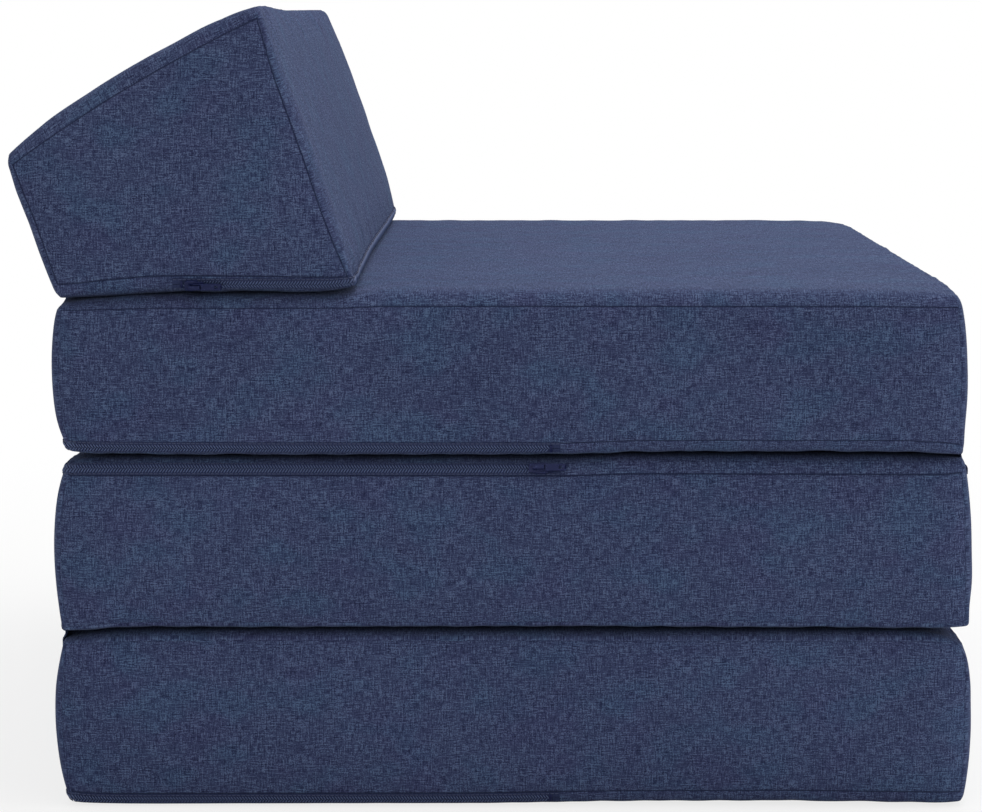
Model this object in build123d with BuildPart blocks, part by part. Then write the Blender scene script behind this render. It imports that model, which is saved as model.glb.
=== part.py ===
from build123d import *
import math
import os

# Folding foam sofa bed: three foam blocks stacked in a zigzag and a wedge pillow as backrest.
# X runs across the seat, Y from the front (-) to the rear (+), Z up from the floor.
# The origin is the middle of the stack's footprint on the floor.

# The foam blocks
sofa_width = 762.0  # between the two side planes
block_length = 656.0  # corner line to corner line, front to rear
block_thickness = 125.4
stack_gap = 0.3  # air between two blocks that lie on each other
end_bulge = 6.0  # how far the ends of a block swell out past its corner lines
corner_radius = 10.0
worn_corner_radius = 30.0  # the slumped front top corner of the bottom block
floor_cut = 0.5  # how deep the lowest cushion is pressed flat on the floor

# The wedge pillow, from its rear bottom corner
wedge_inset = 1.5  # its rear bottom corner lies this far in from the blocks' corner line
wedge_base = 213.5
wedge_rear_lean = 38.7  # its rear top corner hangs out this far behind the bottom one
wedge_rear_height = 99.6
wedge_front_height = 202.0
wedge_front_setback = 69.5  # its front top corner lies this far behind the bottom one
wedge_rear_bulge = 2.0
wedge_top_bulge = 6.0
wedge_front_bulge = 2.5
wedge_rear_top_radius = 14.0

# The padded edge that every cushion has beside its side panels
crown = 1.2  # how much lower a cushion is at its sides than in its middle
crown_run = 90.0
edge_radius = 9.0
lip = 1.5
shoulder_width = 8.0  # the flat sloping strip where a zipper lies
shoulder_drop = 4.0
side_bulge = 4.0  # how far a side panel swells out past the side plane
dome_run = 36.0
least_radius = 6.0
crown_shares = [(1.0, 0.0), (0.5, 0.33)]  # of the crown's run and drop
dome_shares = [(0.4, 0.19), (0.75, 0.5), (1.0, 1.0)]  # of the side bulge and the dome's run

# The sewn cover
cover_thickness = 1.5
seam_inset = 11.2  # the side panel's seam from the cushion's outline
panel_depth = 20.0  # how deep the cut along that seam goes
panel_radius = 3.0

# The zippers
tape_inset = 3.0  # the tape's outer edge from the cushion's outline
tape_slit = 0.8
coil_width = 5.2
coil_rise = 0.9
block_tape_reach = 363.0  # how far a block's zipper runs along both sides, from its rear
wedge_tape_reach = 131.0  # and the wedge's, from its front
tape_tail = 8.0  # bare tape past the end of the coils
stop_length = 2.0
stop_width = 6.0
stop_height = 1.2
stop_lift = 0.1
stop_clearance = 0.3
slider_length = 14.0
slider_width = 9.6
slider_plate = 1.2
slider_flange = 1.0
slider_clearance = 0.3
slider_corner_radius = 2.0
slider_from_coil_end = 8.4  # the closed slider's middle from the coils' end
slider_margin = 3.0  # the open slider stops this far short of the cushion's rounded corner
bridge_length = 8.4
bridge_width = 3.2
bridge_post = 1.0
bridge_bar = 1.0
pull_length = 20.0
pull_width = 6.8
pull_thickness = 1.0
pull_arm_width = 1.2
pull_window = 5.4
pull_pin_radius = 0.6
pull_hole_radius = 1.6
pull_corner_radius = 1.8
pull_swing = 150  # degrees

# The fabric hinges
hinge_clearance = 0.2
wedge_axis_offset = 2.5  # the backrest's axis lies this far behind the blocks' corner line
strip_thickness = 0.8
strip_radius = 5.0
strip_clearance = 0.4
strip_half_angle = 50  # degrees
strip_side_margin = 14.0

# Places worked out from the sizes above
half_width = sofa_width / 2
half_length = block_length / 2
block_pitch = block_thickness + stack_gap
fold_axis_y = half_length + end_bulge + hinge_clearance
lower_fold_z = block_thickness + stack_gap / 2
upper_fold_z = lower_fold_z + block_pitch
backrest_fold_z = upper_fold_z + block_pitch
backrest_axis_y = half_length + wedge_axis_offset
coil_inset = (tape_inset + seam_inset) / 2
shoulder_inset = crown + lip + shoulder_width
shoulder_angle = math.atan2(shoulder_drop, shoulder_width)
coil_depth = shoulder_drop * (shoulder_inset - coil_inset) / shoulder_width
coil_height = coil_rise * (math.cos(shoulder_angle) + math.sin(shoulder_angle))

os.makedirs("parts", exist_ok=True)


def corner_setback(radius, angle):
    """How far the middle of a rounded corner lies in from the sharp corner, along a side."""
    return radius / math.tan(angle / 2)


class Cushion:
    """The side outline of a cushion, counterclockwise from its front bottom corner."""

    def __init__(self, corners, bulges, radii, on_floor=False):
        self.corners = corners
        self.bulges = bulges
        self.radii = radii
        self.on_floor = on_floor


class Zipper:
    """A closed zipper that lies on the sloping edge beside the side panels.

    level is the height of the cushion's edge and up is 1 where the zipper lies above that edge.
    side is the side of its slider, and opening the way that the slider moves along Y. The tape
    runs along both sides for tape_reach from the corner, where two sides meet at corner_angle.
    """

    def __init__(self, level, up, side, opening, tape_reach, corner, corner_angle):
        self.level = level
        self.up = up
        self.side = side
        self.opening = opening
        self.tape_end = corner - opening * tape_reach
        self.coil_end = self.tape_end + opening * tape_tail
        self.slider_y = self.coil_end + opening * slider_from_coil_end
        rounded = corner_setback(shoulder_inset + least_radius, corner_angle)
        self.travel = abs(corner - self.slider_y) - rounded - slider_length / 2 - slider_margin

    def band(self, from_inset, to_inset, end, reach):
        """A cutting block between two distances from the edge, from end along the opening way."""
        heights = sorted(self.level + self.up * inset for inset in (from_inset, to_inset))
        depths = sorted((end, end + self.opening * reach))
        with BuildPart() as cutter:
            with BuildSketch(Plane.YZ):
                with Locations((sum(depths) / 2, sum(heights) / 2)):
                    Rectangle(depths[1] - depths[0], heights[1] - heights[0])
            extrude(amount=sofa_width, both=True)
        return cutter.part

    def plane(self, side, y):
        """The plane of the sloping edge under the coils, with its x along Y and its z outward."""
        origin = (side * (half_width - coil_depth), y, self.level + self.up * coil_inset)
        outward = (side * math.cos(shoulder_angle), 0, -self.up * math.sin(shoulder_angle))
        return Plane(origin=origin, x_dir=(0, 1, 0), z_dir=outward)


def inset_corners(corners, inset):
    """The corners of a convex outline after each side has moved in by inset."""
    moved = []
    for n, corner in enumerate(corners):
        before = (corner - corners[n - 1]).normalized()
        after = (corners[(n + 1) % len(corners)] - corner).normalized()
        inward = (after - before).normalized()
        moved.append(corner + inward * (inset / inward.cross(before).length))
    return moved


def outline(cushion, inset, radii=None):
    """The side outline with bowed sides and rounded corners, drawn in by inset."""
    corners = inset_corners(cushion.corners, inset)
    if radii is None:
        radii = [max(radius - inset, least_radius) for radius in cushion.radii]
    with BuildSketch() as section:
        with BuildLine():
            for n, bulge in enumerate(cushion.bulges):
                start = corners[n]
                end = corners[(n + 1) % len(corners)]
                if bulge:
                    SagittaArc(start, end, -bulge)
                else:
                    Line(start, end)
        make_face()
        for corner, radius in zip(corners, radii):
            fillet(section.vertices().sort_by_distance(corner)[0], radius)
    return section.sketch


def stations(grow):
    """Depth from the side plane and inset of each section, from a side panel's middle inward."""
    side = [(-side_bulge * out, shoulder_inset + dome_run * run) for out, run in dome_shares]
    edge = [(0, shoulder_inset), (shoulder_drop, crown + lip), (edge_radius, crown)]
    top = [(crown_run * run, crown * drop) for run, drop in crown_shares]
    half = side[::-1] + edge + top[::-1]
    return [(depth - grow, inset - grow) for depth, inset in half]


def padded_body(cushion, grow):
    """The whole cushion, with its outside moved out by grow."""
    half = stations(grow)
    places = [(-half_width + depth, inset) for depth, inset in half]
    places += [(half_width - depth, inset) for depth, inset in half[::-1]]
    with BuildPart() as body:
        for x, inset in places:
            with BuildSketch(Plane.YZ.offset(x)):
                add(outline(cushion, inset))
        loft(ruled=True)
        if cushion.on_floor:
            split(bisect_by=Plane.XY, keep=Keep.TOP)
    return body.part


def panel_cutter(cushion, side):
    """The block that holds one side panel, bounded by the panel's seam."""
    radii = [panel_radius] * len(cushion.corners)
    start = side * (half_width + panel_depth)
    with BuildPart() as cutter:
        with BuildSketch(Plane.YZ.offset(start)):
            add(outline(cushion, seam_inset, radii))
        extrude(amount=-2 * side * panel_depth)
    return cutter.part


def save(builder, name):
    """Names a finished piece and writes it."""
    builder.part.label = name
    export_step(builder.part, f"parts/{name}.step")


def make_cushion(name, cushion, zipper):
    """The foam core, the sewn cover and the fixed parts of the zipper of one cushion."""
    outside = padded_body(cushion, 0)
    inside = padded_body(cushion, -cover_thickness)
    raised = padded_body(cushion, coil_rise)
    cutters = {"right": panel_cutter(cushion, -1), "left": panel_cutter(cushion, 1)}
    reach = 2 * block_length
    tape_zone = zipper.band(tape_inset, seam_inset, zipper.tape_end, reach)
    slit = zipper.band(coil_inset - tape_slit / 2, coil_inset + tape_slit / 2, zipper.tape_end, reach)

    with BuildPart() as foam_core:
        add(inside)
    save(foam_core, f"{name}_foam_core")

    for side_name, cutter in cutters.items():
        with BuildPart() as side_panel:
            add(outside)
            add(inside, mode=Mode.SUBTRACT)
            add(cutter, mode=Mode.INTERSECT)
        save(side_panel, f"{name}_cover_{side_name}_panel")

    with BuildPart() as wrap:
        add(outside)
        add(inside, mode=Mode.SUBTRACT)
        for cutter in cutters.values():
            add(cutter, mode=Mode.SUBTRACT)

    with BuildPart() as wrap_band:
        add(wrap.part)
        add(tape_zone, mode=Mode.SUBTRACT)
    save(wrap_band, f"{name}_cover_band")

    with BuildPart() as zip_tapes:
        add(wrap.part)
        add(tape_zone, mode=Mode.INTERSECT)
        add(slit, mode=Mode.SUBTRACT)
    save(zip_tapes, f"{name}_zip_tapes")

    rows = []
    for from_inset in (coil_inset - coil_width / 2, coil_inset):
        row_zone = zipper.band(from_inset, from_inset + coil_width / 2, zipper.coil_end, reach)
        with BuildPart() as row:
            add(raised)
            add(outside, mode=Mode.SUBTRACT)
            add(row_zone, mode=Mode.INTERSECT)
        rows.append(row.part)
    zip_coils = Compound(children=rows)
    zip_coils.label = f"{name}_zip_coils"
    export_step(zip_coils, f"parts/{name}_zip_coils.step")

    stop_y = zipper.coil_end - zipper.opening * (stop_clearance + stop_length / 2)
    with BuildPart() as zip_stops:
        for side in (-1, 1):
            with BuildSketch(zipper.plane(side, stop_y).offset(stop_lift)):
                Rectangle(stop_length, stop_width)
            extrude(amount=stop_height)
    save(zip_stops, f"{name}_zip_stops")


def make_slider(name, zipper):
    """The slider that rides over the coils, and the pull that hangs in its bridge."""
    base = zipper.plane(zipper.side, zipper.slider_y)
    plate_low = coil_height + slider_clearance
    plate_top = plate_low + slider_plate
    pin_height = plate_top + pull_thickness
    bridge_low = pin_height + pull_pin_radius + slider_clearance
    flange_offset = (slider_width - slider_flange) / 2
    post_offset = (bridge_length - bridge_post) / 2

    with BuildPart() as zip_slider:
        with BuildSketch(base.offset(plate_low)):
            RectangleRounded(slider_length, slider_width, slider_corner_radius)
        extrude(amount=slider_plate)
        with BuildSketch(base.offset(slider_clearance)):
            with Locations((0, -flange_offset), (0, flange_offset)):
                Rectangle(slider_length - 2 * slider_corner_radius, slider_flange)
        extrude(amount=plate_low)
        with BuildSketch(base.offset(plate_top)):
            with Locations((-post_offset, 0), (post_offset, 0)):
                Rectangle(bridge_post, bridge_width)
        extrude(amount=bridge_low - plate_top)
        with BuildSketch(base.offset(bridge_low)):
            Rectangle(bridge_length, bridge_width)
        extrude(amount=bridge_bar)
    save(zip_slider, f"{name}_zip_slider")

    pin_plane = base.offset(pin_height)
    arm_offset = (pull_width - pull_arm_width) / 2
    plate_length = pull_length - pull_window
    hole_x = pull_corner_radius + 2 * pull_hole_radius - pull_length
    pin_end = Plane(
        origin=pin_plane.origin - pin_plane.y_dir * (pull_width / 2),
        x_dir=pin_plane.x_dir,
        z_dir=pin_plane.y_dir,
    )
    with BuildPart() as zip_pull:
        with BuildSketch(pin_plane.offset(-pull_thickness / 2)):
            with Locations((-pull_window - plate_length / 2, 0)):
                RectangleRounded(plate_length, pull_width, pull_corner_radius)
            with Locations((-pull_window / 2, -arm_offset), (-pull_window / 2, arm_offset)):
                Rectangle(pull_window, pull_arm_width)
            with Locations((-pull_window - pull_corner_radius / 2, 0)):
                Rectangle(pull_corner_radius, pull_width)
            with Locations((hole_x, 0)):
                Circle(pull_hole_radius, mode=Mode.SUBTRACT)
        extrude(amount=pull_thickness)
        with BuildSketch(pin_end):
            Circle(pull_pin_radius)
        extrude(amount=pull_width)
    save(zip_pull, f"{name}_zip_pull")


def make_hinge_strip(name, setback_y, height, rear):
    """The sewn strip in the notch between two corners, curved into the notch.

    setback_y is the Y of the two rounded corners' middles, and rear is 1 at the rear, -1 in front.
    """
    reach = corner_radius + strip_radius + strip_clearance
    rise = corner_radius + stack_gap / 2
    middle_y = setback_y + rear * math.sqrt(reach**2 - rise**2)
    middle = Vector(middle_y, height)
    start_angle = (180 if rear > 0 else 0) - strip_half_angle
    inner = strip_radius - strip_thickness
    half_strip = half_width - strip_side_margin
    with BuildPart() as hinge_strip:
        with BuildSketch(Plane.YZ.offset(-half_strip)):
            with BuildLine():
                outer_arc = CenterArc(middle, strip_radius, start_angle, 2 * strip_half_angle)
                inner_arc = CenterArc(middle, inner, start_angle, 2 * strip_half_angle)
                Line(outer_arc @ 0, inner_arc @ 0)
                Line(outer_arc @ 1, inner_arc @ 1)
            make_face()
        extrude(amount=2 * half_strip)
    save(hinge_strip, name)


def block(index, front_top_radius=corner_radius, sunk=0):
    """One foam block of the stack, counted from the floor; sunk lowers its underside."""
    low = index * block_pitch - sunk
    high = index * block_pitch + block_thickness
    corners = [
        Vector(-half_length, low),
        Vector(half_length, low),
        Vector(half_length, high),
        Vector(-half_length, high),
    ]
    radii = [corner_radius, corner_radius, corner_radius, front_top_radius]
    return Cushion(corners, [0, end_bulge, 0, end_bulge], radii, on_floor=sunk > 0)


# The outlines of the four cushions
wedge_low = 3 * block_pitch
wedge_rear_y = half_length - wedge_inset
wedge_front_y = wedge_rear_y - wedge_base
wedge_corners = [
    Vector(wedge_front_y, wedge_low),
    Vector(wedge_rear_y, wedge_low),
    Vector(wedge_rear_y + wedge_rear_lean, wedge_low + wedge_rear_height),
    Vector(wedge_front_y + wedge_front_setback, wedge_low + wedge_front_height),
]
wedge_bulges = [0, wedge_rear_bulge, wedge_top_bulge, wedge_front_bulge]
wedge_radii = [corner_radius, corner_radius, wedge_rear_top_radius, corner_radius]

cushions = {
    "bottom": block(0, front_top_radius=worn_corner_radius, sunk=floor_cut),
    "middle": block(1),
    "seat": block(2),
    "backrest": Cushion(wedge_corners, wedge_bulges, wedge_radii),
}

# The angles at the corners, with the bow of the sides that meet there
block_bow = 2 * math.atan2(2 * end_bulge, block_thickness)
block_angle = math.pi / 2 + block_bow
wedge_rear_length = math.hypot(wedge_rear_lean, wedge_rear_height)
wedge_rear_bow = 2 * math.atan2(2 * wedge_rear_bulge, wedge_rear_length)
wedge_rear_angle = math.pi / 2 + math.atan2(wedge_rear_lean, wedge_rear_height) + wedge_rear_bow
wedge_front_length = math.hypot(wedge_front_setback, wedge_front_height)
wedge_front_bow = 2 * math.atan2(2 * wedge_front_bulge, wedge_front_length)
wedge_front_angle = math.atan2(wedge_front_height, wedge_front_setback) + wedge_front_bow

# The zippers: the middle block's lies below its top edge, the others above their bottom edges
middle_top = block_pitch + block_thickness
block_end = (1, block_tape_reach, half_length, block_angle)
wedge_end = (-1, wedge_tape_reach, wedge_front_y, wedge_front_angle)
zippers = {
    "bottom": Zipper(-floor_cut, 1, 1, *block_end),
    "middle": Zipper(middle_top, -1, -1, *block_end),
    "seat": Zipper(2 * block_pitch, 1, 1, *block_end),
    "backrest": Zipper(wedge_low, 1, -1, *wedge_end),
}

for cushion_name, cushion in cushions.items():
    make_cushion(cushion_name, cushion, zippers[cushion_name])
    make_slider(cushion_name, zippers[cushion_name])

# The fabric hinges
block_setback = half_length - corner_setback(corner_radius, block_angle)
wedge_setback = wedge_rear_y - corner_setback(corner_radius, wedge_rear_angle)
make_hinge_strip("rear_hinge_strip", block_setback, lower_fold_z, 1)
make_hinge_strip("front_hinge_strip", -block_setback, upper_fold_z, -1)
make_hinge_strip("backrest_hinge_strip", max(block_setback, wedge_setback), backrest_fold_z, 1)
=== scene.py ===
# %% [markdown]
# # A folding foam sofa bed
# Three foam blocks lie on each other as the seat, and a wedge pillow is hinged to the rear of
# the top one as its backrest. Each has a zipped cover of heathered navy cloth. The sofa opens in
# a zigzag, so every piece made here has to follow the block that it belongs to.
# The shapes could be sculpted freely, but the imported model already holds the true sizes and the
# joints. So each piece starts from it and adds what cloth, foam and a zipper look like.

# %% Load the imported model
import math

import bpy
import numpy as np
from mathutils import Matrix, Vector
from mathutils.bvhtree import BVHTree

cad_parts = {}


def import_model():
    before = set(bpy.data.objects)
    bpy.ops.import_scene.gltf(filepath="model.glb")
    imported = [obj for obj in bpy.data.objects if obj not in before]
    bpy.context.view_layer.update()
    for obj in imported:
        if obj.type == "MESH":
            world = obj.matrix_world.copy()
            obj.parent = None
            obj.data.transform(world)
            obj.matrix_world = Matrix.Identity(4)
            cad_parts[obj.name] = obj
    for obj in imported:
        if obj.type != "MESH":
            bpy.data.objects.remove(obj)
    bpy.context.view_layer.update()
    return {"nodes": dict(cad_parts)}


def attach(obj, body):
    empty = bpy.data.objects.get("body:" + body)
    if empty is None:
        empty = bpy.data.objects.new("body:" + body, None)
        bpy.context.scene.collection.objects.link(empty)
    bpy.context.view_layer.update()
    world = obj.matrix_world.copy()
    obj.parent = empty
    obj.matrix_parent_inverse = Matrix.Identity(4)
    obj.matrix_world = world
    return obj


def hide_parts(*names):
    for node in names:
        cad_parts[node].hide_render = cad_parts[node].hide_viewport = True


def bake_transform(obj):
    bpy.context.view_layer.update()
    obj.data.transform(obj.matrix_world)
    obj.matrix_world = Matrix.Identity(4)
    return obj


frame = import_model()

# %% [markdown]
# ## The camera
# The picture is taken square on from the side of the sofa, from a little above the seat, through
# a long lens, so the far side looks only slightly smaller. A shifted lens could keep the
# uprights parallel, but other views would keep the shift too. So most of the framing comes from
# tilting the camera down, and only a little from the shift.

# %% Set up the camera
CAMERA_PLACE = (-2.5989, 0.0035, 0.5778)
CAMERA_TILT = math.radians(5.857)
CAMERA_TURN = math.radians(0.309)
bpy.ops.object.camera_add(
    location=CAMERA_PLACE, rotation=(math.pi / 2 - CAMERA_TILT, 0, CAMERA_TURN - math.pi / 2)
)
camera = bpy.context.object
camera.data.sensor_width = 36
camera.data.lens = 114.4
camera.data.shift_y = -0.08
bpy.context.scene.camera = camera
print("camera lens", round(camera.data.lens, 2), "mm")

# %% [markdown]
# ## A grid for a cushion
# A cushion is a box of foam in a cover sewn from a long band and two side panels. The cover
# could be cut from a voxel remesh, but that loses the seams. Here it starts as a cube whose cut
# lines are laid where the seams are, so that each seam stays one clean row of points and the
# cloth has its own flat map. The cube is first cut in its own plain units: along and up it has
# seven steps, three narrow ones at each edge and the wide middle, and across it has three.

# %% Helpers to read, move and select points
def read(items, key, width, kind=np.float32):
    """A value of every point, edge, face or corner of a mesh, as rows of numbers."""
    flat = np.empty(len(items) * width, kind)
    items.foreach_get(key, flat)
    return flat.reshape(-1, width).astype(float if kind is np.float32 else int)


def points(piece):
    """The places of a piece's points."""
    return read(piece.data.vertices, "co", 3)


def normals(piece):
    """The outward direction at each point."""
    return read(piece.data.vertex_normals, "vector", 3)


def move_points(piece, places):
    """Puts a piece's points at new places."""
    piece.data.vertices.foreach_set("co", np.asarray(places, float).ravel())
    piece.data.update()


def deselect_all():
    """Leaves nothing selected, neither objects nor parts of them."""
    if bpy.context.object and bpy.context.object.mode != "OBJECT":
        bpy.ops.object.mode_set(mode="OBJECT")
    bpy.ops.object.select_all(action="DESELECT")


def work_on(piece):
    """Makes a piece the only selected object, and deselects everything in it."""
    deselect_all()
    piece.select_set(True)
    bpy.context.view_layer.objects.active = piece
    for part in (piece.data.vertices, piece.data.edges, piece.data.polygons):
        part.foreach_set("select", np.zeros(len(part), bool))


def apply_modifier(piece, name):
    """Makes a modifier's result the piece's own mesh."""
    work_on(piece)
    bpy.ops.object.modifier_apply(modifier=name)


def modify(piece, kind, **settings):
    """Changes a piece's mesh with a modifier."""
    modifier = piece.modifiers.new("Change", kind)
    for setting, value in settings.items():
        setattr(modifier, setting, value)
    apply_modifier(piece, "Change")


def edit(operator, everything=True, **settings):
    """Runs an operator on all of a piece's mesh, or on what is selected in it."""
    bpy.ops.object.mode_set(mode="EDIT")
    if everything:
        bpy.ops.mesh.select_all(action="SELECT")
    operator(**settings)
    bpy.ops.object.mode_set(mode="OBJECT")


def add(operator, name, **settings):
    """Adds a simple shape, which comes as large as it is made and where it is put."""
    deselect_all()
    operator(**settings)
    piece = bpy.context.object
    piece.name = piece.data.name = name
    bpy.ops.object.transform_apply(location=True, rotation=True, scale=True)
    return piece


def box(name, size, place):
    """A plain block."""
    return add(bpy.ops.mesh.primitive_cube_add, name, size=1, location=place, scale=size)


# Two places that are nearer than this are the same.
SAME_PLACE = 1e-4


def cut_line(piece, axis, place):
    """Cuts one line round a piece, square to an axis."""
    work_on(piece)
    across = [float(n == axis) for n in range(3)]
    edit(bpy.ops.mesh.bisect, plane_co=[place * n for n in across], plane_no=across)


def cut_strips(piece, axis, low, high, count):
    """Cuts what lies between two lines into equal strips."""
    work_on(piece)
    bpy.context.tool_settings.mesh_select_mode = (False, True, False)
    along = points(piece)[read(piece.data.edges, "vertices", 2, np.int32), axis]
    inside = (along.min(1) > low - SAME_PLACE) & (along.max(1) < high + SAME_PLACE)
    piece.data.edges.foreach_set("select", inside & (np.ptp(along, axis=1) > SAME_PLACE))
    edit(bpy.ops.mesh.subdivide, False, number_cuts=count - 1)


# %% Cut the grid
# A point of the grid that is nearer to a line than this lies on it.
ON_LINE = 0.01


def cushion_grid(name, across, along, up):
    """A cube of 3 by 7 by 7 units, cut at every unit and finely in its wide middle."""
    piece = box(name, (3, 7, 7), (1.5, 3.5, 3.5))
    for axis, last in ((0, 3), (1, 7), (2, 7)):
        for place in range(1, last):
            cut_line(piece, axis, place)
        cut_strips(piece, axis, last // 2, last // 2 + 1, (across, along, up)[axis])
    for axis in (1, 2):
        for low in (0, 6):
            cut_strips(piece, axis, low, low + 1, 2)
    place = piece.data.attributes.new("grid_place", "FLOAT_VECTOR", "POINT")
    place.data.foreach_set("vector", points(piece).ravel())
    return piece


def grid_place(piece):
    """Where each point of a cushion lies in its grid."""
    return read(piece.data.attributes["grid_place"].data, "vector", 3)


def steps_from_edge(grid):
    """How many steps of the grid a point lies in from the outline."""
    return 3.5 - np.abs(grid[:, 1:] - 3.5).max(1)


def is_on_side(grid):
    """Whether a point lies on one of the two side faces."""
    return np.abs(grid[:, 0] - 1.5) > 1.5 - ON_LINE


# %% [markdown]
# ## The outlines
# Seen from the side, each block is a long box with bowed ends, and the backrest is a wedge. The
# narrow steps of the grid are laid at set distances from the edge, the seam between them. The
# grid could be scaled to the outline evenly, but then a seam would run nearer to a short side.
# So each line of the grid is a side of the outline moved in by its own distance.

# %% Sizes of the cushions, in metres
HALF_WIDTH = 0.381
HALF_LENGTH = 0.328
THICKNESS = 0.1254
PITCH = 0.1257
WIDE_INSET = 0.0112
NARROW_INSET = 0.0046
EDGE_INSET = 0.0027
EDGE_DEPTH = 0.004
SEAM_STEP = 0.0014
DEPTHS = np.array([EDGE_DEPTH, 0.012])


def block_corners(index):
    """The side outline of a block, from its front bottom corner, counterclockwise."""
    low = index * PITCH
    high = low + THICKNESS
    ends = (-HALF_LENGTH, low), (HALF_LENGTH, low), (HALF_LENGTH, high), (-HALF_LENGTH, high)
    return np.array(ends)


WEDGE_CORNERS = np.array([(0.113, 0.3771), (0.3265, 0.3771), (0.3652, 0.4767), (0.1825, 0.5791)])
BLOCK_BOWS = (0, 0.006, 0, 0.006)
WEDGE_BOWS = (0, 0.002, 0.006, 0.0025)
CUSHIONS = {
    "bottom": ("bottom_block", block_corners(0), BLOCK_BOWS, (70, 60, 10)),
    "middle": ("middle_block", block_corners(1), BLOCK_BOWS, (70, 60, 10)),
    "seat": ("seat_block", block_corners(2), BLOCK_BOWS, (70, 60, 10)),
    "backrest": ("backrest", WEDGE_CORNERS, WEDGE_BOWS, (70, 18, 15)),
}
# How far in from the bottom, the rear, the top and the front the side panel's seam runs.
SEAMS = {
    "bottom": (WIDE_INSET, NARROW_INSET, NARROW_INSET, NARROW_INSET),
    "middle": (NARROW_INSET, NARROW_INSET, WIDE_INSET, NARROW_INSET),
    "seat": (WIDE_INSET, NARROW_INSET, WIDE_INSET, NARROW_INSET),
    "backrest": (WIDE_INSET, NARROW_INSET, WIDE_INSET, NARROW_INSET),
}


# %% Lay the grid in the outline
def side_line(corners, side):
    """Where a side starts, its direction and its length."""
    start, end = corners[side], corners[(side + 1) % 4]
    length = np.linalg.norm(end - start)
    return start, (end - start) / length, length


def meeting_point(corners, side_a, inset_a, side_b, inset_b):
    """Where two sides of an outline cross after each has moved in by its own distance."""
    inward, sums = [], []
    for side, inset in ((side_a, inset_a), (side_b, inset_b)):
        start, along, _ = side_line(corners, side)
        inward.append((-along[1], along[0]))
        sums.append(np.dot(inward[-1], start) + inset)
    return np.linalg.solve(inward, sums)


def depth_from(corners, side, places):
    """How far in from a side of the outline places lie, seen from the sofa's side."""
    start, along, _ = side_line(corners, side)
    return (places[..., -2:] - start) @ np.array((-along[1], along[0]))


def insets(name, side):
    """How far in from a side its four cut lines run, from the edge to just past the seam."""
    seam = SEAMS[name][side]
    return [EDGE_INSET, seam - SEAM_STEP, seam, seam + SEAM_STEP]


def lay_grid(grid, name):
    """The places in metres of a cushion's grid points, before they are drawn onto the foam."""
    _, corners, bows, _ = CUSHIONS[name]
    lines, rises = (
        [(first, inset) for inset in insets(name, first)]
        + [(last, inset) for inset in insets(name, last)[::-1]]
        for first, last in ((3, 1), (0, 2))
    )
    net = np.array([[meeting_point(corners, *line, *rise) for rise in rises] for line in lines])
    step = np.clip(np.floor(grid[:, 1:]).astype(int), 0, 6)
    share = grid[:, 1:] - step
    flat = sum(
        net[step[:, 0] + a, step[:, 1] + b]
        * (share[:, :1] if a else 1 - share[:, :1])
        * (share[:, 1:] if b else 1 - share[:, 1:])
        for a in (0, 1)
        for b in (0, 1)
    )
    outward = np.zeros_like(flat)
    for side, bow in enumerate(bows):
        start, along, length = side_line(corners, side)
        run = np.clip((flat - start) @ along / length, 0, 1)
        depth = depth_from(corners, side, flat)
        weight = np.clip(1 - depth / max(depth.max(), 1e-6), 0, 1)
        outward += (4 * run * (1 - run) * weight * bow)[:, None] * (along[1], -along[0])
    side_x = np.concatenate((DEPTHS - HALF_WIDTH, (HALF_WIDTH - DEPTHS)[::-1]))
    x = np.interp(grid[:, 0], range(4), side_x)
    on_panel = (steps_from_edge(grid) > ON_LINE) & is_on_side(grid)
    x = np.where(on_panel, np.sign(x) * HALF_WIDTH, x)
    return np.column_stack((x, flat + outward))


def draw_onto(piece, target, gap):
    """Draws a piece onto another's surface and leaves a gap outside it."""
    modify(
        piece, "SHRINKWRAP", target=target, wrap_method="NEAREST_SURFACEPOINT",
        wrap_mode="OUTSIDE_SURFACE", offset=gap,
    )


# %% [markdown]
# ## Soft covers
# A cover is cut a little loose and its foam presses it outwards, so between its seams it swells
# and the seams pull it in. Moving points by hand would look even. So the cloth is simulated: the
# seams and the zipper's edge are held, the rest starts a little inside the foam, and air
# pressure swells it. A cap keeps each point near its place, so the sofa keeps its size.

# %% Make the covers' meshes
COVER_THICKNESS = 0.0015
SLACK = 0.003
LOOSE_RUN = 0.045
covers = {}
for name in CUSHIONS:
    cover = cushion_grid(f"{name}_cushion_cover", *CUSHIONS[name][3])
    move_points(cover, lay_grid(grid_place(cover), name))
    draw_onto(cover, frame["nodes"][f"{name}_foam_core"], COVER_THICKNESS)
    covers[name] = cover
    print(cover.name, len(cover.data.vertices), "points")


# %% Where a cover is held, and where it is free
def smooth_step(value, low, high):
    """0 below low, 1 above high, and a soft rise between."""
    share = np.clip((value - low) / (high - low), 0, 1)
    return share * share * (3 - 2 * share)


def nearest_side(grid):
    """The side of the outline that a place in the grid is nearest to."""
    reach = np.stack((grid[:, 2], 7 - grid[:, 1], 7 - grid[:, 2], grid[:, 1]), 1)
    return reach.argmin(1)


# A block's narrow seams lie in the shade of its edges. They count as this much further away, so the
# painted seam shade along them is fainter.
BURIED_SEAM = 0.0005


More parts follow.
